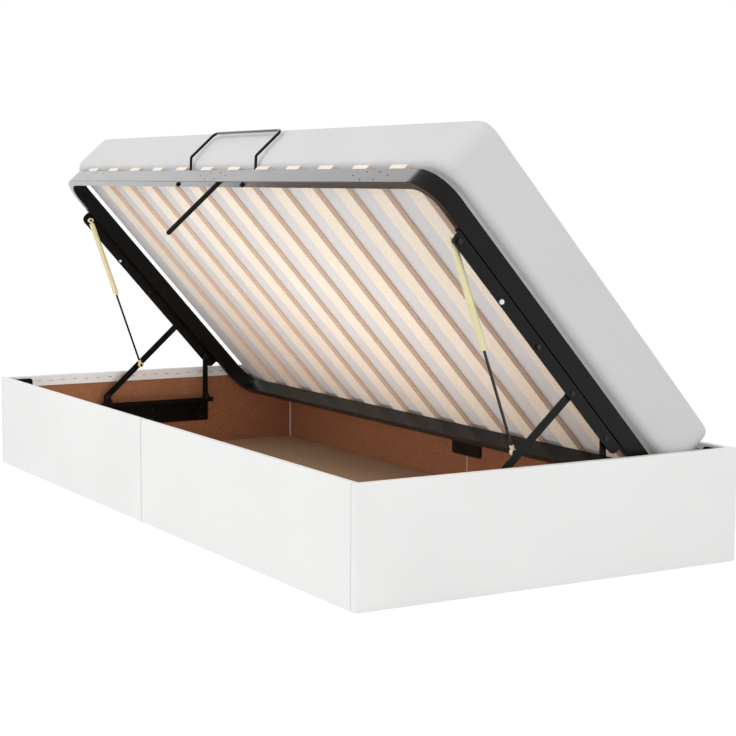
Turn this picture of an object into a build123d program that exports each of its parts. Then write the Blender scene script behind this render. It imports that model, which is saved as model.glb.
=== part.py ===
from build123d import *
import math
import os

# Storage bed with a lifting slatted platform, all sizes in millimetres.
# X runs along the bed, -Y is the side that opens, +Y is the hinge side, Z is up.
# The part is modelled with the platform raised. The origin is on the floor under the box centre.

# Box
box_length = 2060.0
box_width = 960.0
box_height = 250.0
board_thickness = 14.0
cover_thickness = 1.5
cover_turn_over = 30.0
cover_edge_radius = 2.5

# Storage floor
cleat_width = 22.0
cleat_height = 11.0
floor_board_thickness = 4.0
floor_board_gap = 1.0
centre_beam_width = 60.0

# Corner brackets and seam plates
corner_plate_thickness = 2.5
corner_flange_length = 46.0
corner_setback = 25.0
corner_bracket_top_gap = 7.0
corner_bracket_height = 93.0
seam_plate_length = 140.0
seam_plate_height = 60.0
seam_plate_base = 90.0
screw_head_radius = 5.0
screw_head_height = 2.5
screw_head_sides = 10

# Raised platform
lift_angle = 48.14
closed_height = 192.0
front_gap = 40.3
rear_gap = 18.7
end_gap = 24.0
tube_width = 19.0
tube_height = 41.3
tube_wall = 1.5
tube_bend_radius = 75.0
tube_edge_radius = 1.5
tube_hole_radius = 2.3
hole_group_spacing = 750.0

# Slats
slat_count = 12
slat_width = 60.0
slat_thickness = 12.0
slat_end_margin = 161.25
slat_edge_radius = 1.5

# Mattress
mattress_thickness = 127.0
mattress_end_gap = 13.0
mattress_front_overhang = 2.7
mattress_rear_overhang = 25.8
mattress_crown = 5.0
mattress_crown_run = 0.25
mattress_corner_radius = 60.0
mattress_lower_radius = 24.0
mattress_upper_radius = 12.0
mattress_side_draw = 3.0
soft_gap = 0.3

# Mattress retainer on the free edge
retainer_rod = 7.0
retainer_slat_gap = 15.25
retainer_stand_off = 17.0
retainer_height = 162.4
retainer_corner_radius = 15.0
retainer_nut_radius = 5.5
retainer_nut_height = 5.0

# Leg that carries the middle of the free edge when the platform is shut
leg_diameter = 12.0
leg_position = 44.0

# Lift bars
plate_thickness = 3.0
bar_depth = 30.0
bar_start = 122.0
bar_end = 740.0
bar_corner_radius = 15.0
bar_bend_radius = 4.5
bar_pivot_drop = 18.0
bar_arm_pivot = 563.5
bar_link_pivot = 697.5
bar_strut_pivot = 138.0
bar_strut_drop = 18.0
bar_anchor_positions = (296.0, 428.0)
bar_anchor_drops = (24.0, 18.0)
bar_anchor_pads = (12.0, 9.0)
rail_screw_gap = 6.0

# Arms and links
arm_length = 312.2
arm_fold_drop = 5.0
arm_width = 18.0
link_length = 124.5
link_fold_rise = 11.0
link_width = 16.0
pivot_radius = 4.0
pivot_collar_radius = 6.5
pivot_head_radius = 5.5
rivet_height = 1.0
running_fit = 0.05
side_play = 0.1
open_pivot_gap = 0.3

# Plates of the mechanism side by side, measured inward from the outer face of the lift bar
arm_plane_gap = 2.0
link_plane_gap = 1.2
base_plane_gap = 0.8
strut_plane_gap = 9.0

# Gas struts
strut_arm_pivot = 174.0
strut_body_diameter = 15.0
strut_bore_diameter = 12.4
strut_rod_diameter = 6.0
strut_eye_radius = 7.0
strut_eye_width = 10.0
strut_nose_gap = 18.7
strut_tail_gap = 13.5
strut_bore_start = 11.5
strut_gland_length = 6.0
strut_piston_length = 5.0
strut_socket_depth = 6.0

# Base brackets of the mechanism
bracket_foot_height = 85.0
bracket_shelf_height = 148.0
bracket_rib_height = 160.0
bracket_end_margin = 24.0
bracket_bend_radius = 5.0

# Derived places
wall = board_thickness + 2 * cover_thickness
half_length = box_length / 2
half_width = box_width / 2
inner_x = half_length - wall
inner_y = half_width - wall
board_face_x = inner_x + cover_thickness
board_face_y = inner_y + cover_thickness
frame_half_length = inner_x - end_gap
frame_depth = 2 * inner_y - front_gap - rear_gap
free_edge_closed = front_gap - inner_y
storage_floor_top = cleat_height + floor_board_thickness
slat_pitch = (2 * frame_half_length - 2 * slat_end_margin) / (slat_count - 1)
retainer_half_width = 1.5 * slat_pitch - slat_width / 2 - retainer_slat_gap
mattress_length = 2 * (inner_x - mattress_end_gap)
mattress_width = frame_depth + mattress_front_overhang + mattress_rear_overhang
slat_base = tube_height
mattress_base = slat_base + slat_thickness + soft_gap

bar_outer_x = frame_half_length
bar_inner_x = bar_outer_x - plate_thickness
arm_outer_x = bar_inner_x - arm_plane_gap
arm_inner_x = arm_outer_x - plate_thickness
link_outer_x = arm_inner_x - link_plane_gap
link_inner_x = link_outer_x - plate_thickness
rib_outer_x = link_inner_x - base_plane_gap
rib_inner_x = rib_outer_x - plate_thickness
strut_x = rib_inner_x - strut_plane_gap
eye_outer_x = strut_x + strut_eye_width / 2
eye_inner_x = strut_x - strut_eye_width / 2

# Linkage in the Y-Z plane: pivots with the platform shut, then raised
arm_top_shut = (free_edge_closed + bar_arm_pivot, closed_height - bar_pivot_drop)
link_top_shut = (free_edge_closed + bar_link_pivot, closed_height - bar_pivot_drop)
arm_foot = (arm_top_shut[0] - math.sqrt(arm_length**2 - arm_fold_drop**2), arm_top_shut[1] + arm_fold_drop)
link_foot = (link_top_shut[0] - math.sqrt(link_length**2 - link_fold_rise**2), link_top_shut[1] - link_fold_rise)


def tilted(point, v, w, angle):
    turn = math.radians(angle)
    return (
        point[0] + v * math.cos(turn) + w * math.sin(turn),
        point[1] - v * math.sin(turn) + w * math.cos(turn),
    )


def circle_meeting(first, first_radius, second, second_radius):
    # Upper crossing of two circles
    across = math.dist(first, second)
    along = (first_radius**2 - second_radius**2 + across**2) / (2 * across)
    up = math.sqrt(first_radius**2 - along**2)
    ey = (second[0] - first[0]) / across
    ez = (second[1] - first[1]) / across
    return (first[0] + along * ey - up * ez, first[1] + along * ez + up * ey)


def between(start, end, distance):
    share = distance / math.dist(start, end)
    return (start[0] + (end[0] - start[0]) * share, start[1] + (end[1] - start[1]) * share)


shifted_foot = tilted(link_foot, bar_arm_pivot - bar_link_pivot, 0, lift_angle)
arm_top = circle_meeting(arm_foot, arm_length, shifted_foot, link_length)
free_edge = tilted(arm_top, -bar_arm_pivot, bar_pivot_drop, lift_angle)
link_top = tilted(free_edge, bar_link_pivot, -bar_pivot_drop, lift_angle)
strut_top = tilted(free_edge, bar_strut_pivot, -bar_strut_drop, lift_angle)
strut_top_shut = (free_edge_closed + bar_strut_pivot, closed_height - bar_strut_drop)
strut_foot = between(arm_top, arm_foot, strut_arm_pivot)
strut_foot_shut = between(arm_top_shut, arm_foot, strut_arm_pivot)
strut_open = math.dist(strut_top, strut_foot)
strut_shut = math.dist(strut_top_shut, strut_foot_shut)
strut_body_length = strut_shut - strut_nose_gap
strut_rod_end = strut_shut - strut_tail_gap
on_platform = Location((0, free_edge[0], free_edge[1]), (-lift_angle, 0, 0))


def block(x0, x1, y0, y1, z0, z1):
    return Pos((x0 + x1) / 2, (y0 + y1) / 2, (z0 + z1) / 2) * Box(abs(x1 - x0), abs(y1 - y0), abs(z1 - z0))


def x_rod(x0, x1, y, z, radius):
    return Pos((x0 + x1) / 2, y, z) * Rot(0, 90, 0) * Cylinder(radius, abs(x1 - x0))


def z_rod(x, y, z0, z1, radius):
    return Pos(x, y, (z0 + z1) / 2) * Cylinder(radius, abs(z1 - z0))


def y_rod(x, y0, y1, z, radius):
    return Pos(x, (y0 + y1) / 2, z) * Rot(90, 0, 0) * Cylinder(radius, abs(y1 - y0))


def far(shape):
    return mirror(shape, about=Plane.YZ)


def rear(shape):
    return mirror(shape, about=Plane.XZ)


def write(name, shape):
    export_step(shape, os.path.join("parts", name + ".step"))


# Panels: a board in a wrapped cover, open on the inner face below the stapled turn-over
def panel_board(x0, x1, y0, y1):
    t = cover_thickness
    return block(x0 + t, x1 - t, y0 + t, y1 - t, t, box_height - t)


def panel_cover(x0, x1, y0, y1, window):
    skin = block(x0, x1, y0, y1, 0, box_height)
    skin = fillet(skin.edges().filter_by(lambda edge: edge.center().Z > 0), cover_edge_radius)
    return skin - panel_board(x0, x1, y0, y1) - window


def long_panels():
    t = cover_thickness
    top = box_height - cover_turn_over
    window = block(-inner_x - t, t, -inner_y - t, -inner_y + t, t, top)
    board = panel_board(-inner_x, 0, -half_width, -inner_y)
    cover = panel_cover(-inner_x, 0, -half_width, -inner_y, window)
    write("front_left_board", board)
    write("front_left_cover", cover)
    write("front_right_board", far(board))
    write("front_right_cover", far(cover))
    write("rear_left_board", rear(board))
    write("rear_left_cover", rear(cover))
    write("rear_right_board", far(rear(board)))
    write("rear_right_cover", far(rear(cover)))


def end_panels():
    t = cover_thickness
    top = box_height - cover_turn_over
    window = block(inner_x - t, inner_x + t, -inner_y, inner_y, t, top)
    board = panel_board(inner_x, half_length, -half_width, half_width)
    cover = panel_cover(inner_x, half_length, -half_width, half_width, window)
    write("near_end_board", board)
    write("near_end_cover", cover)
    write("far_end_board", far(board))
    write("far_end_cover", far(cover))


# Storage floor: two boards on cleats and a centre beam
def floor_parts():
    cleat = block(-inner_x, inner_x, -board_face_y, -board_face_y + cleat_width, 0, cleat_height)
    cleat = cleat - block(-inner_x, inner_x, -board_face_y, -inner_y, 0, cover_thickness)
    write("floor_cleats", Compound(children=[cleat, rear(cleat)]))
    reach = board_face_y - cleat_width
    beam = block(-centre_beam_width / 2, centre_beam_width / 2, -reach, reach, 0, cleat_height)
    write("centre_beam", beam)
    gap = floor_board_gap
    sheet = block(-inner_x + gap, -gap / 2, -inner_y + gap, inner_y - gap, cleat_height, storage_floor_top)
    write("floor_board_left", sheet)
    write("floor_board_right", far(sheet))


# Corner bracket: two flanges with a slanting web across the corner
def corner_bracket():
    half = corner_plate_thickness / 2
    x_face = inner_x - half
    y_face = inner_y - half
    near = corner_setback
    end = corner_setback + corner_flange_length
    line = FilletPolyline(
        (x_face, y_face - end),
        (x_face, y_face - near),
        (x_face - near, y_face),
        (x_face - end, y_face),
        radius=4,
    )
    profile = trace(line, corner_plate_thickness)
    top = box_height - corner_bracket_top_gap
    plate = extrude(profile, corner_bracket_height)
    plate = Pos(0, 0, top - corner_bracket_height) * plate
    tips = plate.edges().filter_by(GeomType.LINE).filter_by(lambda e: e.length < corner_plate_thickness * 1.01)
    return fillet(tips, 8)


def corner_screw_places():
    level = box_height - corner_bracket_top_gap - corner_bracket_height
    reach = corner_setback + corner_flange_length * 0.55
    return [(reach, level + corner_bracket_height * share) for share in (0.2, 0.8)]


def screw_head():
    return extrude(RegularPolygon(screw_head_radius, screw_head_sides), screw_head_height, taper=25)


def screw_head_x(x_face, y, z):
    # Head that sits on a face looking to -X
    return Pos(x_face, y, z) * Rot(0, -90, 0) * screw_head()


def screw_head_y(x, y_face, z):
    # Head that sits on a face looking to -Y
    return Pos(x, y_face, z) * Rot(90, 0, 0) * screw_head()


def corner_parts():
    bracket = corner_bracket()
    write("corner_bracket_near_rear", bracket)
    write("corner_bracket_near_front", rear(bracket))
    write("corner_bracket_far_rear", far(bracket))
    write("corner_bracket_far_front", far(rear(bracket)))


def seam_plate():
    y0 = board_face_y - corner_plate_thickness
    plate = block(-seam_plate_length / 2, seam_plate_length / 2, y0, board_face_y,
                  seam_plate_base, seam_plate_base + seam_plate_height)
    return fillet(plate.edges().filter_by(Axis.Y), 8)


def seam_screw_places():
    x = seam_plate_length / 2 - 20
    low = seam_plate_base + 15
    high = seam_plate_base + seam_plate_height - 15
    return [(sx * x, z) for sx in (-1, 1) for z in (low, high)]


# Base bracket: a folded plate with two ears that carry the arm and the link
def bracket_ear(pivot, half_foot, radius):
    foot = bracket_shelf_height - plate_thickness / 2
    ear = Plane.YZ * (
        make_face(Polyline(
            (pivot[0] - half_foot, foot),
            (pivot[0] - radius, pivot[1]),
            (pivot[0] + radius, pivot[1]),
            (pivot[0] + half_foot, foot),
            close=True,
        ))
        + Pos(pivot[0], pivot[1]) * Circle(radius)
    )
    return Pos(rib_inner_x, 0, 0) * extrude(ear, plate_thickness)


def bracket_span():
    return (arm_foot[0] - bracket_end_margin, link_foot[0] + bracket_end_margin)


def base_bracket():
    start, end = bracket_span()
    half = plate_thickness / 2
    line = FilletPolyline(
        (board_face_x - half, bracket_foot_height),
        (board_face_x - half, bracket_shelf_height - half),
        (rib_inner_x + half, bracket_shelf_height - half),
        (rib_inner_x + half, bracket_rib_height),
        radius=bracket_bend_radius,
    )
    profile = Plane.XZ * trace(line, plate_thickness)
    plate = extrude(profile, end - start)
    plate = Pos(0, start - plate.bounding_box().min.Y, 0) * plate
    plate = plate + bracket_ear(arm_foot, 22, 9) + bracket_ear(link_foot, 22, 11)
    for pivot in (arm_foot, link_foot):
        plate = plate - x_rod(rib_inner_x - 1, rib_outer_x + 1, pivot[0], pivot[1], pivot_radius + 1)
    return plate


def bracket_screw_places():
    start, end = bracket_span()
    low = bracket_foot_height + 14
    high = bracket_shelf_height - 20
    steps = [start + 25, (start + end) / 2, end - 25]
    return [(y, z) for y in steps for z in (low, high)]


def base_screws():
    heads = []
    for reach, z in corner_screw_places():
        side = screw_head_x(inner_x - corner_plate_thickness, inner_y - reach, z)
        back = screw_head_y(inner_x - reach, inner_y - corner_plate_thickness, z)
        for head in (side, back):
            heads += [head, far(head), rear(head), far(rear(head))]
    for x, z in seam_screw_places():
        head = screw_head_y(x, board_face_y - corner_plate_thickness, z)
        heads += [head, rear(head)]
    for y, z in bracket_screw_places():
        head = screw_head_x(board_face_x - plate_thickness, y, z)
        heads += [head, far(head)]
    write("base_screws", Compound(children=heads))


# Pivot pins that stay with the base brackets
def base_pin(pivot, plate_inner, plate_outer):
    head = x_rod(rib_inner_x - rivet_height, rib_inner_x, pivot[0], pivot[1], pivot_radius + 3)
    shank = x_rod(rib_inner_x, rib_outer_x, pivot[0], pivot[1], pivot_radius + 1 - running_fit)
    collar = x_rod(rib_outer_x, plate_inner - side_play, pivot[0], pivot[1], pivot_collar_radius)
    pin = x_rod(plate_inner - side_play, plate_outer + side_play, pivot[0], pivot[1], pivot_radius)
    cap = x_rod(plate_outer + side_play, plate_outer + side_play + 0.8, pivot[0], pivot[1], pivot_head_radius)
    return head + shank + collar + pin + cap


def base_mechanism():
    bracket = base_bracket()
    write("base_bracket_near", bracket)
    write("base_bracket_far", far(bracket))
    arm_pin = base_pin(arm_foot, arm_inner_x, arm_outer_x)
    link_pin = base_pin(link_foot, link_inner_x, link_outer_x)
    write("arm_foot_pins", Compound(children=[arm_pin, far(arm_pin)]))
    write("link_foot_pins", Compound(children=[link_pin, far(link_pin)]))
    plate = seam_plate()
    write("seam_plates", Compound(children=[plate, rear(plate)]))


# Flat bar with round ends and a hole at each pivot
def flat_bar(start, end, width, x0, x1):
    middle = ((start[0] + end[0]) / 2, (start[1] + end[1]) / 2)
    angle = math.degrees(math.atan2(end[1] - start[1], end[0] - start[0]))
    outline = Pos(middle[0], middle[1]) * Rot(0, 0, angle) * SlotCenterToCenter(math.dist(start, end), width)
    return Pos(x0, 0, 0) * extrude(Plane.YZ * outline, x1 - x0)


def link():
    bar = flat_bar(link_foot, link_top, link_width, link_inner_x, link_outer_x)
    for pivot in (link_foot, link_top):
        bar = bar - x_rod(link_inner_x - 1, link_outer_x + 1, pivot[0], pivot[1], pivot_radius + running_fit)
    return bar


def arm():
    bar = flat_bar(arm_foot, arm_top, arm_width, arm_inner_x, arm_outer_x)
    bar = bar - x_rod(arm_inner_x - 1, arm_outer_x + 1, arm_foot[0], arm_foot[1], pivot_radius + running_fit)
    rivet = x_rod(arm_inner_x - 0.8, arm_inner_x, arm_top[0], arm_top[1], pivot_head_radius)
    collar = x_rod(eye_outer_x + side_play, arm_inner_x, strut_foot[0], strut_foot[1], pivot_collar_radius - 0.5)
    stud = x_rod(eye_inner_x, eye_outer_x + side_play, strut_foot[0], strut_foot[1], pivot_radius)
    return bar + rivet + collar + stud


def arms_and_links():
    write("arm_near", arm())
    write("arm_far", far(arm()))
    write("link_near", link())
    write("link_far", far(link()))


# Gas struts are drawn along +Z from the lower eye, then turned onto their line
def strut_line(shape):
    angle = math.degrees(math.atan2(strut_top[1] - strut_foot[1], strut_top[0] - strut_foot[0]))
    return Pos(strut_x, strut_foot[0], strut_foot[1]) * Rot(angle - 90, 0, 0) * shape


def strut_eye(level):
    eye = Pos(0, 0, level) * Rot(0, 90, 0) * Cylinder(strut_eye_radius, strut_eye_width)
    hole = Pos(0, 0, level) * Rot(0, 90, 0) * Cylinder(pivot_radius + running_fit, strut_eye_width + 2)
    return eye, hole


def strut_foot_fitting():
    eye, hole = strut_eye(0)
    neck = z_rod(0, 0, 0, strut_nose_gap - 2.5, strut_eye_width / 2 - 0.5)
    socket = z_rod(0, 0, strut_nose_gap - 2.5 - strut_socket_depth, strut_nose_gap,
                   strut_rod_diameter / 2 + running_fit)
    return strut_line(eye + neck - hole - socket)


def strut_rod():
    start = strut_nose_gap - 2.5 - strut_socket_depth
    rod = z_rod(0, 0, start, strut_rod_end, strut_rod_diameter / 2)
    piston = z_rod(0, 0, strut_rod_end - strut_piston_length, strut_rod_end, strut_bore_diameter / 2 - running_fit * 2)
    return strut_line(rod + piston)


def strut_body():
    top = strut_open
    nose = top - strut_body_length
    tube = z_rod(0, 0, nose, top - strut_bore_start + 2, strut_body_diameter / 2)
    rim = tube.edges().filter_by(GeomType.CIRCLE)
    tube = chamfer(rim, 1)
    eye, hole = strut_eye(top)
    neck = z_rod(0, 0, top - strut_bore_start, top, strut_eye_width / 2 - 0.5)
    bore = z_rod(0, 0, nose + strut_gland_length, top - strut_bore_start, strut_bore_diameter / 2)
    gland = z_rod(0, 0, nose - 1, nose + strut_gland_length + 1, strut_rod_diameter / 2 + running_fit)
    return strut_line(tube + neck + eye - hole - bore - gland)


def struts():
    write("strut_foot_near", strut_foot_fitting())
    write("strut_foot_far", far(strut_foot_fitting()))
    write("strut_rod_near", strut_rod())
    write("strut_rod_far", far(strut_rod()))
    write("strut_body_near", strut_body())
    write("strut_body_far", far(strut_body()))


# Platform pieces are drawn flat: X along the bed, Y from the free edge, Z up from the tube's lower face
def ring_solid(inset, low, high):
    outer = RectangleRounded(2 * frame_half_length - 2 * inset, frame_depth - 2 * inset, tube_bend_radius - inset)
    far_side = tube_width - inset
    inner = RectangleRounded(2 * frame_half_length - 2 * far_side, frame_depth - 2 * far_side,
                             tube_bend_radius - far_side)
    return Pos(0, frame_depth / 2, low) * extrude(outer - inner, high - low)


def hole_group():
    middle = tube_height / 2
    low = tube_height * 0.21
    high = tube_height * 0.77
    return [(-70, middle), (70, middle), (-27, low), (-27, high), (27, low), (27, high)]


def lift_frame():
    ring = ring_solid(0, 0, tube_height)
    ring = fillet(ring.edges().filter_by(Plane.XY), tube_edge_radius)
    ring = ring - ring_solid(tube_wall, tube_wall, tube_height - tube_wall)
    for centre in (-hole_group_spacing, 0, hole_group_spacing):
        for x, z in hole_group():
            ring = ring - y_rod(centre + x, -1, tube_wall + 1, z, tube_hole_radius)
    ring = ring - z_rod(0, tube_width / 2, -1, tube_wall + 1, tube_hole_radius)
    for side in (-1, 1):
        x = side * retainer_half_width
        ring = ring - z_rod(x, tube_width / 2, -1, tube_height + 1, retainer_rod / 2 + running_fit)
    return ring


def slat(x):
    strip = block(x - slat_width / 2, x + slat_width / 2, 0, frame_depth, slat_base, slat_base + slat_thickness)
    return fillet(strip.edges().filter_by(Axis.Y), slat_edge_radius)


def slats():
    for index in range(slat_count):
        x = (index - (slat_count - 1) / 2) * slat_pitch
        write("slat_%02d" % (index + 1), on_platform * slat(x))


def lift_bar():
    half = plate_thickness / 2
    line = FilletPolyline(
        (bar_outer_x - tube_width, -half),
        (bar_outer_x - half, -half),
        (bar_outer_x - half, -bar_depth),
        radius=bar_bend_radius,
    )
    bar = extrude(Plane.XZ * trace(line, plate_thickness), bar_end - bar_start)
    bar = Pos(0, bar_start - bar.bounding_box().min.Y, 0) * bar
    outline = Plane.YZ * Pos((bar_start + bar_end) / 2, 0) * RectangleRounded(
        bar_end - bar_start, 2 * bar_depth, bar_corner_radius)
    bar = bar & (Pos(bar_outer_x - tube_width, 0, 0) * extrude(outline, tube_width))
    for v, w in bar_holes():
        bar = bar - x_rod(bar_inner_x - 1, bar_outer_x + 1, v, w, pivot_radius)
    return bar


def bar_holes():
    holes = [(bar_arm_pivot, -bar_pivot_drop), (bar_link_pivot, -bar_pivot_drop), (bar_strut_pivot, -bar_strut_drop)]
    return holes + [(v, -drop) for v, drop in zip(bar_anchor_positions, bar_anchor_drops)]


def bar_pin(v, w, inner_end, head_height, head_radius):
    head = x_rod(bar_outer_x, bar_outer_x + head_height, v, w, head_radius)
    shank = x_rod(bar_inner_x, bar_outer_x, v, w, pivot_radius - running_fit)
    collar = x_rod(inner_end, bar_inner_x, v, w, pivot_collar_radius - 0.5)
    return head + shank + collar


def link_top_pin():
    pin = bar_pin(bar_link_pivot, -bar_pivot_drop, link_outer_x + side_play, 1.5, pivot_head_radius)
    v, w = bar_link_pivot, -bar_pivot_drop
    shank = x_rod(link_inner_x - side_play, link_outer_x + side_play, v, w, pivot_radius)
    cap = x_rod(link_inner_x - side_play - 1.5, link_inner_x - side_play, v, w, pivot_head_radius)
    return pin + shank + cap


def anchor_bolt(v, drop, pad_size):
    pad = block(bar_outer_x, bar_outer_x + 1.5, v - pad_size / 2, v + pad_size / 2,
                -drop - pad_size / 2, -drop + pad_size / 2)
    bolt = x_rod(bar_outer_x + 1.5, bar_outer_x + 4.5, v, -drop, pivot_radius + 1)
    shank = x_rod(bar_inner_x - 1, bar_outer_x, v, -drop, pivot_radius - running_fit)
    return pad + bolt + shank


def rail_screw():
    # Small head under the side rail, just ahead of the lift bar
    return Pos(bar_outer_x - tube_width / 2, bar_start - rail_screw_gap, 0) * Rot(180, 0, 0) * screw_head()


def lift_bars():
    bar = lift_bar()
    write("lift_bar_near", on_platform * bar)
    write("lift_bar_far", on_platform * far(bar))
    pin = link_top_pin()
    write("link_top_pins", Compound(children=[on_platform * pin, on_platform * far(pin)]))
    stud = bar_pin(bar_arm_pivot, -bar_pivot_drop, arm_outer_x + open_pivot_gap, 1.5, pivot_head_radius)
    write("arm_top_studs", Compound(children=[on_platform * stud, on_platform * far(stud)]))
    stud = bar_pin(bar_strut_pivot, -bar_strut_drop, eye_outer_x + open_pivot_gap, 4, pivot_radius + 2)
    write("strut_top_studs", Compound(children=[on_platform * stud, on_platform * far(stud)]))
    bolts = [anchor_bolt(v, drop, pad) for v, drop, pad in zip(bar_anchor_positions, bar_anchor_drops, bar_anchor_pads)]
    bolts.append(rail_screw())
    bolts += [far(bolt) for bolt in bolts]
    write("anchor_bolts", Compound(children=[on_platform * bolt for bolt in bolts]))


def retainer():
    half = retainer_half_width
    inside = tube_width / 2
    out = -retainer_stand_off
    foot = -retainer_nut_height
    line = FilletPolyline(
        (-half, inside, foot),
        (-half, inside, tube_height + 4),
        (-half, out, tube_height + 30),
        (-half, out, retainer_height),
        (half, out, retainer_height),
        (half, out, tube_height + 30),
        (half, inside, tube_height + 4),
        (half, inside, foot),
        radius=[9, 9, retainer_corner_radius, retainer_corner_radius, 9, 9],
    )
    section = Plane(origin=line @ 0, z_dir=line % 0) * Circle(retainer_rod / 2)
    return sweep(section, path=line)


def retainer_nut(x):
    inside = tube_width / 2
    nut = z_rod(x, inside, -retainer_nut_height - 1.5, 0, retainer_nut_radius)
    nut = chamfer(nut.faces().sort_by(Axis.Z)[0].edges(), 2)
    return nut - z_rod(x, inside, -retainer_nut_height, 1, retainer_rod / 2 + running_fit)


def leg():
    length = closed_height - storage_floor_top - soft_gap
    radius = leg_diameter / 2
    rod = z_rod(leg_position, tube_width / 2, -length + radius, 0, radius)
    return rod + Pos(leg_position, tube_width / 2, -length + radius) * Sphere(radius)


# Mattress: ruled loft through rounded rectangles, with rounded edges, sides drawn in and a crown
def mattress_levels():
    levels = []
    for turn in (0, 30, 60, 90):
        angle = math.radians(turn)
        r = mattress_lower_radius
        levels.append((r - r * math.sin(angle), r - r * math.cos(angle)))
    levels.append((mattress_side_draw, mattress_thickness / 2))
    for turn in (90, 60, 30, 0):
        angle = math.radians(turn)
        r = mattress_upper_radius
        levels.append((r - r * math.sin(angle), mattress_thickness - r + r * math.cos(angle)))
    run = mattress_width * mattress_crown_run
    levels.append((run * 0.4, mattress_thickness + mattress_crown * 0.6))
    levels.append((run, mattress_thickness + mattress_crown))
    return levels


def mattress():
    sections = []
    for inset, height in mattress_levels():
        radius = max(mattress_corner_radius - inset, 14)
        outline = RectangleRounded(mattress_length - 2 * inset, mattress_width - 2 * inset, radius)
        sections.append(Pos(0, mattress_width / 2 - mattress_front_overhang, mattress_base + height) * outline)
    return loft(sections, ruled=True)


def platform():
    write("lift_frame", on_platform * lift_frame())
    slats()
    lift_bars()
    write("mattress_retainer", on_platform * retainer())
    nuts = [retainer_nut(retainer_half_width), retainer_nut(-retainer_half_width)]
    write("retainer_nuts", Compound(children=[on_platform * nut for nut in nuts]))
    write("support_leg", on_platform * leg())
    write("mattress", on_platform * mattress())


def swing(start, end, foot):
    first = math.atan2(start[1] - foot[1], start[0] - foot[0])
    second = math.atan2(end[1] - foot[1], end[0] - foot[0])
    return math.degrees(second - first)


def report_linkage():
    print("free edge raised", free_edge, "shut", (free_edge_closed, closed_height))
    print("arm foot", arm_foot, "arm top", arm_top, "shut", arm_top_shut)
    print("link foot", link_foot, "link top", link_top, "shut", link_top_shut)
    print("strut foot", strut_foot, "strut top", strut_top, "lengths", strut_open, strut_shut)
    print("strut foot shut", strut_foot_shut, "strut top shut", strut_top_shut)
    print("arm swing", swing(arm_top, arm_top_shut, arm_foot))
    print("link swing", swing(link_top, link_top_shut, link_foot))
    print("strut swing", swing(strut_top, strut_top_shut, strut_foot), "from", strut_foot_shut)
    print("planes", bar_outer_x, arm_outer_x, arm_inner_x, link_outer_x, link_inner_x, rib_outer_x, rib_inner_x, strut_x)


os.makedirs("parts", exist_ok=True)
long_panels()
end_panels()
floor_parts()
corner_parts()
base_mechanism()
base_screws()
arms_and_links()
struts()
platform()
report_linkage()
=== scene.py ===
import bmesh
import bpy
import math
import numpy as np
from mathutils import Matrix, Vector


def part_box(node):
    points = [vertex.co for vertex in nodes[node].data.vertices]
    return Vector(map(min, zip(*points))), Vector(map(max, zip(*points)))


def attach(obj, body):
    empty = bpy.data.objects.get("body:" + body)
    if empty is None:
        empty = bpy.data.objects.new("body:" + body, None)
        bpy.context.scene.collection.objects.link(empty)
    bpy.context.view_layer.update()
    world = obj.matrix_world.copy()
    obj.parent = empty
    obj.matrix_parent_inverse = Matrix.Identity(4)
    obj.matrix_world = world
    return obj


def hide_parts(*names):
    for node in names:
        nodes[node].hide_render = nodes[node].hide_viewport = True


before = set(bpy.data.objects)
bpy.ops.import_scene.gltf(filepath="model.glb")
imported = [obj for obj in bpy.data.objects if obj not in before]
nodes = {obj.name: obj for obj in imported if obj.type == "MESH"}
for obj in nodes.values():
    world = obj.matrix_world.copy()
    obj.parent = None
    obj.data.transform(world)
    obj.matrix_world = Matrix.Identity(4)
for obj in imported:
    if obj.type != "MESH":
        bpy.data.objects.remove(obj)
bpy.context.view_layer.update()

# The raised platform leans back by this angle. Its own directions are v, from the free edge to the
# hinge side, and w, from the slats' underside up into the mattress.
LEAN = math.radians(48.14)
ALONG_V = Vector((0, math.cos(LEAN), -math.sin(LEAN)))
ALONG_W = Vector((0, math.sin(LEAN), math.cos(LEAN)))
FREE_EDGE = Vector((0, -0.30143, 0.81899))

# The mattress: its x, v and w sizes, and the v and w at which it starts
MATTRESS_SIZE = Vector((2.006, 0.9003, 0.1335))
MATTRESS_FRONT = -0.0045
MATTRESS_BASE = 0.0536

MATTRESS_CORNER = 0.034
MATTRESS_UPPER_EDGE = 0.011
MATTRESS_LOWER_EDGE = 0.026
MATTRESS_CELL = 0.009
UNDERSIDE_BAND = 0.012
SEAM_BAND = 0.015
SWELL_FRAMES = 20
SWELL_LIMIT = 0.006

# The box: its height, the x of its long sides' ends and a y inside its end panels' edges
BOX_HEIGHT = 0.250
LONG_SIDE_END = 1.013
END_PANEL_EDGE = 0.47

# Staples: their pitch, their length, width and thickness, and their drop below the rim
STAPLE_PITCH = 0.037
STAPLE_LENGTH = 0.012
STAPLE_WIDTH = 0.0012
STAPLE_THICKNESS = 0.0009
STAPLE_ROUND = 0.0004
STAPLE_DROP = 0.015

# The camera, fitted to the photograph
CAMERA_PLACE = (3.823885, -2.101453, 0.816512)
CAMERA_YAW = 0.5329007
CAMERA_PITCH = 0.1064130
CAMERA_ROLL = 0.0053800
CAMERA_LENS = 84.580


def on_platform(x, v, w):
    return Vector((x, 0, 0)) + FREE_EDGE + ALONG_V * v + ALONG_W * w


def srgb(red, green, blue):
    def straight(value):
        value /= 255
        return value / 12.92 if value <= 0.04045 else ((value + 0.055) / 1.055) ** 2.4
    return (straight(red), straight(green), straight(blue), 1.0)


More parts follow.
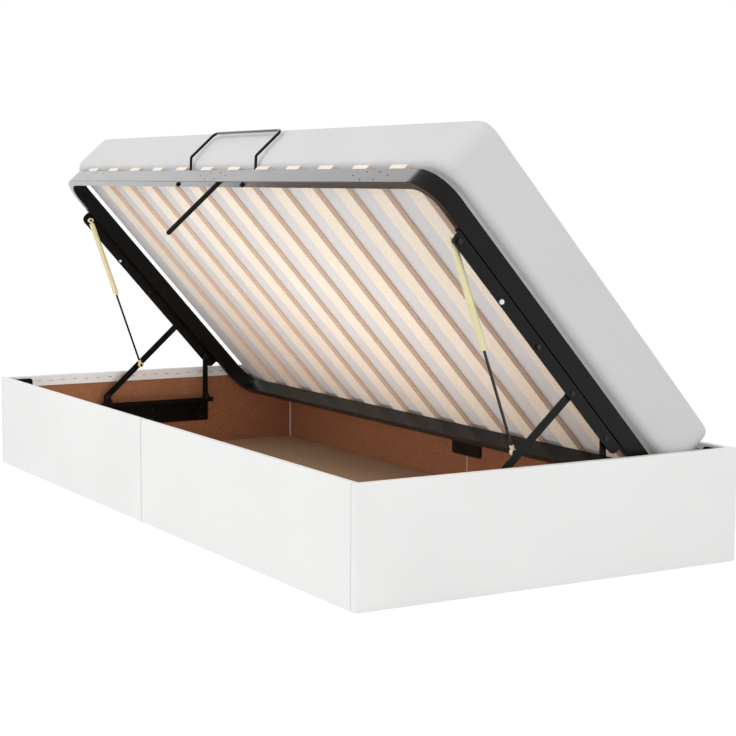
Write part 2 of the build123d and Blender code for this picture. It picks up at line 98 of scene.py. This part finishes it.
# Camera
def place_camera():
    flat = math.cos(CAMERA_PITCH)
    ahead = Vector((-math.cos(CAMERA_YAW) * flat, math.sin(CAMERA_YAW) * flat, -math.sin(CAMERA_PITCH)))
    level = ahead.cross(Vector((0, 0, 1))).normalized()
    upright = level.cross(ahead)
    right = level * math.cos(CAMERA_ROLL) + upright * math.sin(CAMERA_ROLL)
    up = upright * math.cos(CAMERA_ROLL) - level * math.sin(CAMERA_ROLL)
    lens = bpy.data.cameras.new("photo_camera")
    lens.sensor_width = 36.0
    lens.lens = CAMERA_LENS
    lens.clip_end = 100
    camera = bpy.data.objects.new("photo_camera", lens)
    bpy.context.scene.collection.objects.link(camera)
    turn = Matrix((right, up, -ahead)).transposed().to_4x4()
    camera.matrix_world = Matrix.Translation(CAMERA_PLACE) @ turn
    bpy.context.scene.camera = camera


# Node work shared by the finishes
class Finish:
    """One material: its shader and the patterns that feed it."""

    def __init__(self, name, **sockets):
        self.material = bpy.data.materials.new(name)
        self.material.use_nodes = True
        self.tree = self.material.node_tree
        self.shader = self.tree.nodes["Principled BSDF"]
        for socket, value in sockets.items():
            self.shader.inputs[socket.replace("_", " ")].default_value = value

    def node(self, kind, **values):
        made = self.tree.nodes.new(kind)
        for key, value in values.items():
            setattr(made, key, value)
        return made

    def join(self, source, target):
        self.tree.links.new(source, target)

    def feed(self, value, socket):
        if isinstance(value, bpy.types.NodeSocket):
            self.join(value, socket)
        else:
            socket.default_value = value

    def place(self, turn=(0, 0, 0), stretch=(1, 1, 1), shift=(0, 0, 0)):
        where = self.node("ShaderNodeTexCoord")
        mapping = self.node("ShaderNodeMapping")
        mapping.inputs["Rotation"].default_value = turn
        mapping.inputs["Scale"].default_value = stretch
        mapping.inputs["Location"].default_value = shift
        self.join(where.outputs["Object"], mapping.inputs["Vector"])
        return mapping.outputs["Vector"]

    def noise(self, place, scale, detail=3.0, rough=0.55, bend=0.0):
        made = self.node("ShaderNodeTexNoise")
        made.inputs["Scale"].default_value = scale
        made.inputs["Detail"].default_value = detail
        made.inputs["Roughness"].default_value = rough
        made.inputs["Distortion"].default_value = bend
        self.join(place, made.inputs["Vector"])
        return made.outputs["Fac"]

    def cells(self, place, scale, feature="F1"):
        made = self.node("ShaderNodeTexVoronoi", feature=feature)
        made.inputs["Scale"].default_value = scale
        self.join(place, made.inputs["Vector"])
        return made.outputs["Distance"]

    def bands(self, place, scale, direction, bend=0.0):
        made = self.node("ShaderNodeTexWave", bands_direction=direction)
        made.inputs["Scale"].default_value = scale
        made.inputs["Distortion"].default_value = bend
        self.join(place, made.inputs["Vector"])
        return made.outputs["Fac"]

    def ramp(self, factor, *stops):
        made = self.node("ShaderNodeValToRGB")
        row = made.color_ramp.elements
        while len(row) < len(stops):
            row.new(0.5)
        for element, (position, colour) in zip(row, stops):
            element.position = position
            element.color = colour
        self.join(factor, made.inputs["Fac"])
        return made.outputs["Color"]

    def mix(self, factor, first, second, blend="MIX"):
        made = self.node("ShaderNodeMix", data_type="RGBA", blend_type=blend)
        for value, number in ((factor, 0), (first, 6), (second, 7)):
            self.feed(value, made.inputs[number])
        return made.outputs[2]

    def sum(self, operation, first, second=0.0):
        made = self.node("ShaderNodeMath", operation=operation)
        self.feed(first, made.inputs[0])
        self.feed(second, made.inputs[1])
        return made.outputs[0]

    def remap(self, value, low, high, new_low, new_high):
        made = self.node("ShaderNodeMapRange")
        for socket, number in zip(made.inputs[1:5], (low, high, new_low, new_high)):
            socket.default_value = number
        self.join(value, made.inputs[0])
        return made.outputs[0]

    def colour(self, source):
        self.join(source, self.shader.inputs["Base Color"])

    def roughness(self, value, low, high):
        self.join(self.remap(value, 0.3, 0.7, low, high), self.shader.inputs["Roughness"])

    def emboss(self, height, depth, strength=1.0):
        bump = self.node("ShaderNodeBump")
        bump.inputs["Distance"].default_value = depth
        bump.inputs["Strength"].default_value = strength
        self.join(height, bump.inputs["Height"])
        last = self.shader.inputs["Normal"]
        if last.is_linked:
            self.join(last.links[0].from_socket, bump.inputs["Normal"])
        self.join(bump.outputs["Normal"], last)


def white_faux_leather():
    f = Finish("white_faux_leather", Coat_Weight=0.12, Coat_Roughness=0.3)
    place = f.place()
    soft = f.noise(place, 3.5, 2.0)
    pores = f.noise(place, 420, 3.0)
    pebble = f.cells(place, 650)
    tone = f.ramp(soft, (0.35, srgb(240, 240, 239)), (0.65, srgb(244, 244, 243)))
    tone = f.mix(f.remap(pebble, 0.25, 0.75, 0.0, 0.35), tone, srgb(234, 234, 233))
    across = f.node("ShaderNodeSeparateXYZ")
    f.join(place, across.inputs[0])
    # Darker in the groove of the mid-length seam and along the corner joints where long sides meet end panels:
    # painted shade where these grooves fall into shadow
    seam = f.remap(f.sum("ABSOLUTE", across.outputs[0]), 0.0008, 0.0042, 0.75, 0.0)
    corner = f.sum("ABSOLUTE", f.sum("SUBTRACT", f.sum("ABSOLUTE", across.outputs[0]), LONG_SIDE_END))
    corner_joint_shade = f.sum("MULTIPLY", f.remap(corner, 0.0004, 0.0022, 0.6, 0.0),
                  f.sum("GREATER_THAN", f.sum("ABSOLUTE", across.outputs[1]), END_PANEL_EDGE))
    f.colour(f.mix(f.sum("MAXIMUM", seam, corner_joint_shade), tone, srgb(196, 196, 195)))
    f.roughness(pores, 0.46, 0.62)
    f.emboss(pebble, 0.00025, 0.55)
    f.emboss(f.noise(place, 14, 2.0), 0.002, 0.12)
    return f.material


def bare_panel_board():
    f = Finish("bare_panel_board")
    place = f.place()
    chips = f.noise(f.place(stretch=(1, 1, 2.2)), 160, 4.0, 0.7)
    flecks = f.cells(f.place(stretch=(1, 1, 2.6)), 210)
    wide = f.noise(place, 7, 3.0)
    tone = f.ramp(chips, (0.32, srgb(132, 82, 54)), (0.5, srgb(156, 102, 70)), (0.7, srgb(182, 126, 90)))
    tone = f.mix(f.remap(flecks, 0.05, 0.35, 0.35, 0.0), tone, srgb(118, 72, 46))
    f.colour(f.mix(f.remap(wide, 0.3, 0.7, 0.0, 0.25), tone, srgb(168, 114, 80)))
    f.roughness(chips, 0.72, 0.9)
    f.emboss(chips, 0.0004, 0.6)
    return f.material


def hardboard_floor():
    f = Finish("hardboard_floor")
    place = f.place()
    fibre = f.noise(f.place(stretch=(1, 3, 1)), 190, 5.0, 0.7)
    wide = f.noise(place, 5, 3.0)
    tone = f.ramp(fibre, (0.3, srgb(150, 118, 90)), (0.7, srgb(184, 152, 120)))
    f.colour(f.mix(f.remap(wide, 0.35, 0.65, 0.0, 0.3), tone, srgb(160, 126, 96)))
    f.roughness(fibre, 0.55, 0.75)
    f.emboss(fibre, 0.0002, 0.5)
    return f.material


def sawn_pine():
    f = Finish("sawn_pine")
    grain = f.noise(f.place(stretch=(0.12, 0.12, 1)), 160, 4.0, 0.6, 0.6)
    f.colour(f.ramp(grain, (0.32, srgb(196, 160, 116)), (0.6, srgb(218, 188, 146)), (0.75, srgb(170, 128, 88))))
    f.roughness(grain, 0.6, 0.8)
    f.emboss(grain, 0.0004, 0.5)
    return f.material


def laminated_birch():
    f = Finish("laminated_birch", Coat_Weight=0.05, Coat_Roughness=0.35)
    lean = (LEAN, 0, 0)
    long_grain = f.noise(f.place(lean, (1, 0.03, 1)), 150, 4.0, 0.6, 0.3)
    drift = f.noise(f.place(lean, (1, 0.25, 1)), 6, 2.0)
    face = f.ramp(long_grain, (0.3, srgb(232, 219, 200)), (0.5, srgb(243, 233, 218)),
                  (0.72, srgb(249, 241, 229)))
    face = f.mix(f.remap(drift, 0.35, 0.65, 0.0, 0.4), face, srgb(240, 226, 206))
    plies = f.bands(f.place(lean, (0.02, 0.01, 1)), 130, "Z", 0.6)
    edge = f.ramp(plies, (0.15, srgb(226, 194, 168)), (0.5, srgb(238, 209, 185)), (0.85, srgb(243, 217, 195)))
    edge = f.mix(f.remap(long_grain, 0.35, 0.7, 0.0, 0.3), edge, srgb(228, 198, 172))
    facing = f.node("ShaderNodeSeparateXYZ")
    f.join(f.node("ShaderNodeTexCoord").outputs["Normal"], facing.inputs[0])
    on_edge = f.remap(f.sum("ABSOLUTE", facing.outputs[0]), 0.55, 0.75, 0.0, 1.0)
    f.colour(f.mix(on_edge, face, edge))
    f.roughness(long_grain, 0.42, 0.6)
    f.emboss(long_grain, 0.0001, 0.3)
    return f.material


def black_powder_coat(name):
    f = Finish(name, Specular_IOR_Level=0.2)
    place = f.place()
    peel = f.noise(place, 900, 2.0)
    wide = f.noise(place, 26, 3.0)
    f.colour(f.ramp(wide, (0.35, srgb(9, 9, 9)), (0.7, srgb(13, 13, 13))))
    f.roughness(wide, 0.3, 0.42)
    f.emboss(peel, 0.00005, 0.4)
    return f


def platform_place(f):
    """The x, v and w of a point on the platform at rest."""
    split = f.node("ShaderNodeSeparateXYZ")
    edge = Matrix.Rotation(LEAN, 3, "X") @ FREE_EDGE
    f.join(f.place((LEAN, 0, 0), (1, 1, 1), -edge), split.inputs[0])
    return split.outputs


def painted_glancing_shine(f, start, end, most, elsewhere):
    """A glossy skin over the dark paint that reflects the studio; its strength is painted by position,
    strongest on the front bar as a painted reflection, and taken away inside its tube's hollow as painted
    shade.
    """
    place = platform_place(f)
    # The tube's hollow: gloss is taken away here as painted shade
    hollow_shade_mask = f.sum("MULTIPLY", f.sum("GREATER_THAN", place[1], 0.0009), f.sum("LESS_THAN", place[1], 0.0181))
    hollow_shade_mask = f.sum("MULTIPLY", hollow_shade_mask, f.sum("GREATER_THAN", place[2], 0.0009))
    hollow_shade_mask = f.sum("MULTIPLY", hollow_shade_mask, f.sum("LESS_THAN", place[2], 0.0404))
    painted_reflection_amount = f.sum("MULTIPLY", f.remap(place[1], 0.03, 0.12, most, elsewhere), f.sum("SUBTRACT", 1.0, hollow_shade_mask))
    skin = f.node("ShaderNodeBsdfGlossy")
    skin.inputs["Color"].default_value = (0.95, 0.95, 0.95, 1)
    skin.inputs["Roughness"].default_value = 0.22
    angle = f.node("ShaderNodeLayerWeight")
    angle.inputs["Blend"].default_value = 0.5
    over = f.node("ShaderNodeMixShader")
    f.join(f.sum("MULTIPLY", f.remap(angle.outputs["Facing"], start, end, 0.0, 1.0), painted_reflection_amount), over.inputs[0])
    f.join(f.shader.outputs[0], over.inputs[1])
    f.join(skin.outputs[0], over.inputs[2])
    f.join(over.outputs[0], f.tree.nodes["Material Output"].inputs["Surface"])
    return f.material


def cream_strut_paint():
    f = Finish("cream_strut_paint", Coat_Weight=0.25, Coat_Roughness=0.18)
    place = f.place()
    wide = f.noise(place, 30, 3.0)
    f.colour(f.ramp(wide, (0.3, srgb(226, 217, 166)), (0.7, srgb(233, 225, 178))))
    f.roughness(wide, 0.3, 0.42)
    f.emboss(f.noise(place, 700, 2.0), 0.00005, 0.5)
    return f.material


def blackened_rod():
    f = Finish("blackened_rod")
    fine = f.noise(f.place(stretch=(1, 0.05, 0.05)), 2200, 2.0)
    f.colour(f.ramp(fine, (0.3, srgb(12, 12, 13)), (0.7, srgb(22, 22, 23))))
    f.roughness(fine, 0.14, 0.24)
    f.emboss(fine, 0.00002, 0.3)
    return f.material


def dark_fastener():
    f = Finish("dark_fastener", Metallic=0.55)
    place = f.place()
    turned = f.noise(f.place(stretch=(0.2, 1, 1)), 1500, 3.0)
    f.colour(f.ramp(f.noise(place, 240, 3.0), (0.3, srgb(30, 30, 31)), (0.7, srgb(48, 48, 49))))
    f.roughness(turned, 0.3, 0.45)
    f.emboss(turned, 0.00003, 0.5)
    return f.material


def anchor_bolt_finish():
    """Bright on the foremost bolt of each lift bar, black on the others."""
    f = Finish("anchor_bolt_finish")
    place = platform_place(f)
    bolt_v, bolt_w, bolt_radius = 0.296, 0.024, 0.0052
    v_off = f.sum("SUBTRACT", place[1], bolt_v)
    w_off = f.sum("ADD", place[2], bolt_w)
    square = f.sum("ADD", f.sum("MULTIPLY", v_off, v_off), f.sum("MULTIPLY", w_off, w_off))
    bright = f.sum("LESS_THAN", f.sum("SQRT", square), bolt_radius)
    grain = f.noise(f.place(), 500, 3.0)
    dark = f.ramp(grain, (0.3, srgb(22, 22, 23)), (0.7, srgb(30, 30, 31)))
    zinc = f.ramp(grain, (0.3, srgb(228, 228, 222)), (0.7, srgb(244, 244, 238)))
    f.colour(f.mix(bright, dark, zinc))
    f.roughness(grain, 0.35, 0.5)
    f.emboss(grain, 0.00004, 0.5)
    return f.material


def staple_wire():
    f = Finish("staple_wire", Metallic=0.8)
    drawn = f.noise(f.place(stretch=(0.1, 0.1, 1)), 1800, 2.0)
    f.colour(f.ramp(drawn, (0.3, srgb(96, 94, 90)), (0.7, srgb(132, 130, 126))))
    f.roughness(drawn, 0.3, 0.45)
    return f.material


def mattress_knit():
    f = Finish("mattress_knit", Sheen_Weight=0.2, Sheen_Roughness=0.5)
    lean = (LEAN, 0, 0)
    flat = f.place(lean)
    rib = f.bands(flat, 260, "X", 0.3)
    wale = f.bands(flat, 230, "Y", 0.3)
    stitch = f.sum("MULTIPLY", rib, wale)
    fuzz = f.noise(flat, 900, 3.0)
    soft = f.noise(flat, 2.6, 2.0)
    tone = f.ramp(soft, (0.35, srgb(214, 214, 215)), (0.65, srgb(218, 218, 219)))
    tone = f.mix(f.remap(stitch, 0.0, 1.0, 0.22, 0.0), tone, srgb(199, 199, 200))
    f.colour(f.mix(f.remap(fuzz, 0.4, 0.7, 0.0, 0.15), tone, srgb(207, 207, 208)))
    f.roughness(fuzz, 0.78, 0.92)
    f.emboss(stitch, 0.0003, 0.35)
    f.emboss(f.noise(flat, 7, 2.0), 0.003, 0.22)
    return f.material


def from_mesh(name, mesh):
    data = bpy.data.meshes.new(name)
    mesh.to_mesh(data)
    mesh.free()
    piece = bpy.data.objects.new(name, data)
    bpy.context.scene.collection.objects.link(piece)
    return piece


def dress(material, *names):
    for name in names:
        skins = nodes[name].data.materials
        skins.clear()
        skins.append(material)


def nodes_named(*beginnings):
    return [name for name in nodes if name.startswith(beginnings)]


def dress_cad_nodes():
    black = black_powder_coat("black_powder_coat").material
    # The tube ring gets a reflection painted strongest on the front bar, and painted shade inside its tube's
    # hollow
    tube_black = painted_glancing_shine(black_powder_coat("tube_powder_coat"), 0.5, 0.8, 0.6, 0.06)
    dress(white_faux_leather(), *[name for name in nodes if name.endswith("_cover")])
    dress(bare_panel_board(), *[name for name in nodes if name.endswith("_board")])
    dress(hardboard_floor(), *nodes_named("floor_board"))
    dress(sawn_pine(), "floor_cleats", "centre_beam")
    dress(laminated_birch(), *nodes_named("slat_"))
    dress(tube_black, "lift_frame", "mattress_retainer")
    dress(black, *nodes_named("lift_bar", "corner_bracket", "base_bracket", "arm_near", "arm_far",
                              "link_near", "link_far", "retainer_nuts"), "seam_plates", "support_leg")
    dress(cream_strut_paint(), *nodes_named("strut_body", "strut_foot"))
    dress(blackened_rod(), *nodes_named("strut_rod"))
    dress(dark_fastener(), "base_screws",
          *nodes_named("arm_foot", "link_foot", "link_top", "arm_top", "strut_top"))
    dress(anchor_bolt_finish(), "anchor_bolts")


# Staples that hold the covers' turned-over edge
def one_staple(mesh, place):
    made = bmesh.ops.create_cube(mesh, size=1.0)["verts"]
    bmesh.ops.scale(mesh, vec=(STAPLE_LENGTH, STAPLE_WIDTH, STAPLE_THICKNESS), verts=made)
    edges = {edge for vert in made for edge in vert.link_edges
             if abs((edge.verts[0].co - edge.verts[1].co).x) < 1e-6}
    made = bmesh.ops.bevel(mesh, geom=list(edges), offset=STAPLE_ROUND, segments=1, profile=0.5,
                           affect="EDGES", material=-1)["verts"] + [vert for vert in made if vert.is_valid]
    bmesh.ops.transform(mesh, matrix=place, verts=list(set(made)))


def staple_row(name, start, end, inward):
    """Staples along a straight run, lying on a face that looks inward."""
    run = end - start
    count = int(run.length / STAPLE_PITCH)
    along = run.normalized()
    turn = Matrix((along, inward.cross(along), inward)).transposed()
    mesh = bmesh.new()
    for index in range(count):
        spot = start + run * ((index + 0.5) / count)
        tilt = Matrix.Rotation(0.09 * math.sin(index * 2.3), 4, "Z")
        lift = Vector((0, 0, 0.0012 * math.sin(index * 1.7)))
        one_staple(mesh, Matrix.Translation(spot + lift + inward * 0.0003) @ turn.to_4x4() @ tilt)
    bmesh.ops.recalc_face_normals(mesh, faces=mesh.faces)
    piece = from_mesh(name, mesh)
    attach(piece, "base")
    return piece


def staples():
    wire = staple_wire()
    level = BOX_HEIGHT - STAPLE_DROP
    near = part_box("near_end_cover")[0].x
    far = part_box("far_end_cover")[1].x
    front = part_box("front_left_cover")[1].y
    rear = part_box("rear_left_cover")[0].y
    rows = [
        ("staples_front", (far, front), (near, front), (0, 1, 0)),
        ("staples_rear", (near, rear), (far, rear), (0, -1, 0)),
        ("staples_near_end", (near, front), (near, rear), (-1, 0, 0)),
        ("staples_far_end", (far, rear), (far, front), (1, 0, 0)),
    ]
    for name, start, end, inward in rows:
        row = staple_row(name, Vector((*start, level)), Vector((*end, level)), Vector(inward))
        row.data.materials.append(wire)


# Mattress: a rounded block, swollen under pressure like a filled cover
def mattress_shell():
    mesh = bmesh.new()
    block = bmesh.ops.create_cube(mesh, size=1.0)["verts"]
    bmesh.ops.scale(mesh, vec=MATTRESS_SIZE, verts=block)
    half = MATTRESS_SIZE.z / 2 - 1e-4
    upright = [edge for edge in mesh.edges if abs(edge.verts[0].co.z - edge.verts[1].co.z) > half]
    bmesh.ops.bevel(mesh, geom=upright, offset=MATTRESS_CORNER, segments=5, profile=0.5,
                    affect="EDGES", material=-1)
    for side, radius, steps in ((1, MATTRESS_UPPER_EDGE, 3), (-1, MATTRESS_LOWER_EDGE, 5)):
        rim = [edge for edge in mesh.edges if all(vert.co.z * side > half for vert in edge.verts)]
        bmesh.ops.bevel(mesh, geom=rim, offset=radius, segments=steps, profile=0.5,
                        affect="EDGES", material=-1)
    middle = on_platform(0, MATTRESS_FRONT + MATTRESS_SIZE.y / 2, MATTRESS_BASE + MATTRESS_SIZE.z / 2)
    turn = Matrix(((1, 0, 0), ALONG_V, ALONG_W)).transposed().to_4x4()
    bmesh.ops.transform(mesh, matrix=Matrix.Translation(middle) @ turn, verts=mesh.verts)
    bmesh.ops.recalc_face_normals(mesh, faces=mesh.faces)
    piece = from_mesh("mattress_soft", mesh)
    remesh = piece.modifiers.new("even_mesh", "REMESH")
    remesh.mode = "VOXEL"
    remesh.voxel_size = MATTRESS_CELL
    remesh.adaptivity = 0
    apply_modifiers(piece)
    return piece


def apply_modifiers(piece):
    ready = piece.evaluated_get(bpy.context.evaluated_depsgraph_get())
    data = bpy.data.meshes.new_from_object(ready)
    old = piece.data
    piece.modifiers.clear()
    piece.data = data
    bpy.data.meshes.remove(old)
    data.name = piece.name


def points_of(mesh):
    flat = np.zeros(len(mesh.vertices) * 3)
    mesh.vertices.foreach_get("co", flat)
    return flat.reshape(-1, 3)


def swell(piece):
    """Cloth under pressure, its underside flat on the slats and its upper seam held."""
    rest = points_of(piece.data)
    along = (rest - np.array(FREE_EDGE)) @ np.array(ALONG_V) - MATTRESS_FRONT
    heights = (rest - np.array(FREE_EDGE)) @ np.array(ALONG_W) - MATTRESS_BASE
    to_ends = MATTRESS_SIZE.x / 2 - np.abs(rest[:, 0])
    inset = np.minimum(to_ends, np.minimum(along, MATTRESS_SIZE.y - along))
    seam = (heights > MATTRESS_SIZE.z - SEAM_BAND) & (inset < SEAM_BAND)
    held = piece.vertex_groups.new(name="held_cover")
    held.add([int(index) for index in np.nonzero((heights < UNDERSIDE_BAND) | seam)[0]], 1.0, "REPLACE")
    cloth = piece.modifiers.new("swelling", "CLOTH")
    cloth.settings.quality = 4
    cloth.settings.mass = 0.4
    cloth.settings.use_pressure = True
    cloth.settings.uniform_pressure_force = 4
    cloth.settings.tension_stiffness = 18
    cloth.settings.compression_stiffness = 18
    cloth.settings.bending_stiffness = 4
    cloth.settings.effector_weights.gravity = 0
    cloth.settings.vertex_group_mass = held.name
    cloth.collision_settings.use_collision = False
    cloth.point_cache.frame_start = 1
    cloth.point_cache.frame_end = SWELL_FRAMES
    scene = bpy.context.scene
    for number in range(1, SWELL_FRAMES + 1):
        scene.frame_set(number)
    apply_modifiers(piece)
    scene.frame_set(1)
    moved = points_of(piece.data) - rest
    length = np.linalg.norm(moved, axis=1, keepdims=True)
    share = SWELL_LIMIT * (1 - np.exp(-length / SWELL_LIMIT)) / np.maximum(length, 1e-9)
    piece.data.vertices.foreach_set("co", (rest + moved * share).ravel())
    piece.data.update()


def mattress():
    piece = mattress_shell()
    swell(piece)
    smooth = piece.modifiers.new("smooth_cover", "SUBSURF")
    smooth.levels = 1
    smooth.render_levels = 1
    piece.data.materials.clear()
    piece.data.materials.append(mattress_knit())
    piece.data.shade_smooth()
    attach(piece, "platform")
    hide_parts("mattress")


# Floor, world and lamps
def shown_directly(tree):
    """1 for rays that look at the floor or world as a background, 0 for the light that they give."""
    path = tree.nodes.new("ShaderNodeLightPath")
    total = None
    for name in ("Is Camera Ray", "Is Glossy Ray", "Is Transmission Ray"):
        if total is None:
            total = path.outputs[name]
            continue
        add = tree.nodes.new("ShaderNodeMath")
        add.operation = "MAXIMUM"
        tree.links.new(total, add.inputs[0])
        tree.links.new(path.outputs[name], add.inputs[1])
        total = add.outputs[0]
    return total


def pale_world(strength):
    world = bpy.data.worlds.new("pale_studio")
    bpy.context.scene.world = world
    world.use_nodes = True
    tree = world.node_tree
    seen = tree.nodes["Background"]
    seen.inputs["Color"].default_value = (1, 1, 1, 1)
    seen.inputs["Strength"].default_value = 1.0
    light = tree.nodes.new("ShaderNodeBackground")
    light.inputs["Color"].default_value = (1, 1, 1, 1)
    light.inputs["Strength"].default_value = strength
    mix = tree.nodes.new("ShaderNodeMixShader")
    tree.links.new(shown_directly(tree), mix.inputs[0])
    tree.links.new(light.outputs[0], mix.inputs[1])
    tree.links.new(seen.outputs[0], mix.inputs[2])
    tree.links.new(mix.outputs[0], tree.nodes["World Output"].inputs["Surface"])


def pale_floor():
    mesh = bmesh.new()
    bmesh.ops.create_grid(mesh, x_segments=1, y_segments=1, size=30)
    floor = from_mesh("studio_floor", mesh)
    floor.location.z = -0.0005
    material = bpy.data.materials.new("studio_floor")
    material.use_nodes = True
    tree = material.node_tree
    tree.nodes.remove(tree.nodes["Principled BSDF"])
    plain = tree.nodes.new("ShaderNodeBsdfDiffuse")
    plain.inputs["Color"].default_value = (0.82, 0.82, 0.82, 1)
    half = tree.nodes.new("ShaderNodeBsdfDiffuse")
    half.inputs["Color"].default_value = (0.5, 0.5, 0.5, 1)
    glow = tree.nodes.new("ShaderNodeEmission")
    glow.inputs["Color"].default_value = (1, 1, 1, 1)
    glow.inputs["Strength"].default_value = 0.62
    both = tree.nodes.new("ShaderNodeAddShader")
    tree.links.new(half.outputs[0], both.inputs[0])
    tree.links.new(glow.outputs[0], both.inputs[1])
    mix = tree.nodes.new("ShaderNodeMixShader")
    tree.links.new(shown_directly(tree), mix.inputs[0])
    tree.links.new(plain.outputs[0], mix.inputs[1])
    tree.links.new(both.outputs[0], mix.inputs[2])
    tree.links.new(mix.outputs[0], tree.nodes["Material Output"].inputs["Surface"])
    floor.data.materials.append(material)


def soft_lamp(name, place, target, width, height, power):
    lamp = bpy.data.lights.new(name, "AREA")
    lamp.shape = "ELLIPSE"
    lamp.size = width
    lamp.size_y = height
    lamp.energy = power
    piece = bpy.data.objects.new(name, lamp)
    bpy.context.scene.collection.objects.link(piece)
    piece.location = place
    piece.rotation_mode = "QUATERNION"
    piece.rotation_quaternion = (Vector(target) - Vector(place)).to_track_quat("-Z", "Y")
    piece.visible_camera = False
    piece.visible_glossy = False


def studio():
    bpy.context.scene.view_settings.view_transform = "Standard"
    pale_world(0.80)
    pale_floor()
    soft_lamp("end_softbox", (4.4, -0.9, 0.7), (0.9, 0, 0.1), 2.4, 2.4, 24)
    soft_lamp("low_front_fill", (-0.2, -3.4, 0.7), (0.2, 0, 0.4), 2.4, 2.4, 14)
    soft_lamp("overhead_key", (-0.2, -2.2, 4.2), (0.1, -0.2, 0.6), 2.6, 2.6, 32)
    soft_lamp("bounce_from_box", (0, -0.29, 0.06), (0, -0.04, 1.0), 1.7, 0.34, 4.4)


place_camera()
dress_cad_nodes()
staples()
mattress()
studio()
